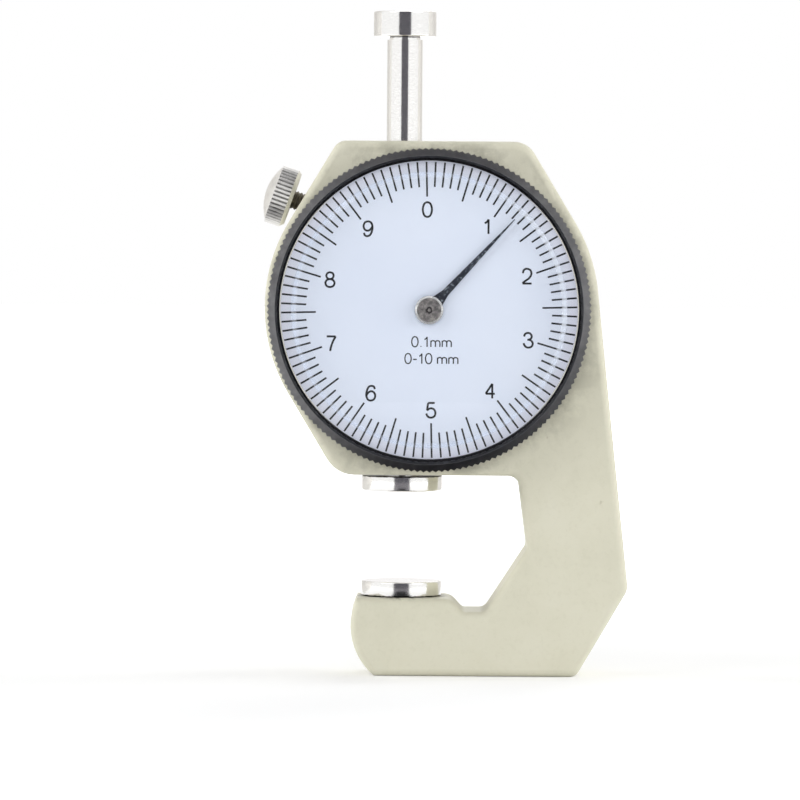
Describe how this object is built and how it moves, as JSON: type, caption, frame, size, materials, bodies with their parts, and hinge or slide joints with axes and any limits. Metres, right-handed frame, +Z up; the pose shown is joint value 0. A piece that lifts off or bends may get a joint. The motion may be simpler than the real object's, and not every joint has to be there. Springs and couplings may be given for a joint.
{
  "type": "dial thickness gauge",
  "caption": "Hand-held thickness gauge: a cast C frame with a round dial, a press-down plunger with a flat measuring disc above a fixed anvil, a turning bezel and a lock screw.",
  "frame": {"origin": "on the flat foot, straight below the measuring axis, in the middle of the frame's thickness", "axes": "+Z up along the measuring axis, +X from the measuring axis towards the bow, -Y towards the reader of the dial"},
  "size_m": [0.0456, 0.017, 0.0826],
  "materials": {
    "frame_paint": "cream paint on a casting, eggshell",
    "steel": "polished steel",
    "bezel_black": "black anodised, knurled",
    "dial_white": "white lacquer with printed marks",
    "crystal": "clear moulded window",
    "pointer_black": "blued black",
    "brass": "turned brass",
    "spring_steel": "drawn spring wire and small screws",
    "stud_dark": "blackened thread",
    "cover": "satin cover plate"
  },
  "bodies": {
    "body": {"frame": "frame_paint", "anvil": "steel", "upper_bush": "brass", "lower_bush": "brass", "front_bearing": "brass", "pinion_bridge": "brass", "rear_bearing": "brass", "bridge_screws": "spring_steel", "back_cover": "cover", "cover_screws": "spring_steel", "bezel_snap_ring": "spring_steel", "return_spring": "spring_steel"},
    "plunger": {"plunger_rod": "steel", "plunger_cap": "steel", "contact_disc": "steel", "guide_pin": "steel", "spring_clip": "spring_steel"},
    "hand": {"pinion_arbor": "brass", "pointer": "pointer_black", "pointer_boss": "steel"},
    "rim": {"bezel": "bezel_black", "crystal": "crystal", "dial_plate": "dial_white"},
    "pad": {"lock_pad": "brass"},
    "thumb_screw": {"lock_knob": "steel", "lock_stud": "stud_dark"}
  },
  "joints": [
    {"name": "plunger_slide", "type": "slide", "parent": "body", "child": "plunger", "axis": [0, 0, -1], "range_m": [0, 0.01123], "stiffness_N_per_m": 110, "springref_m": -0.0093, "deforming": ["return_spring"]},
    {"name": "pointer_turn", "type": "hinge", "parent": "body", "child": "hand", "pos_m": [0.0032, 0, 0.04555], "axis": [0, -1, 0], "range_deg": [-1, 406]},
    {"name": "bezel_turn", "type": "hinge", "parent": "body", "child": "rim", "pos_m": [0.0032, 0, 0.04555], "axis": [0, -1, 0], "continuous": true},
    {"name": "lock_pad_slide", "type": "slide", "parent": "body", "child": "pad", "axis": [0.9426, 0, -0.3338], "range_m": [-0.0009, 0.00009375]},
    {"name": "lock_screw_turn", "type": "hinge", "parent": "pad", "child": "thumb_screw", "pos_m": [0, 0, 0.0542], "axis": [0.9426, 0, -0.3338], "range_deg": [-721, 76]}
  ],
  "couplings": [
    {"joint": "pointer_turn", "follows": "plunger_slide", "rad_per_m": 628.32},
    {"joint": "lock_screw_turn", "follows": "lock_pad_slide", "rad_per_m": 13963}
  ]
}
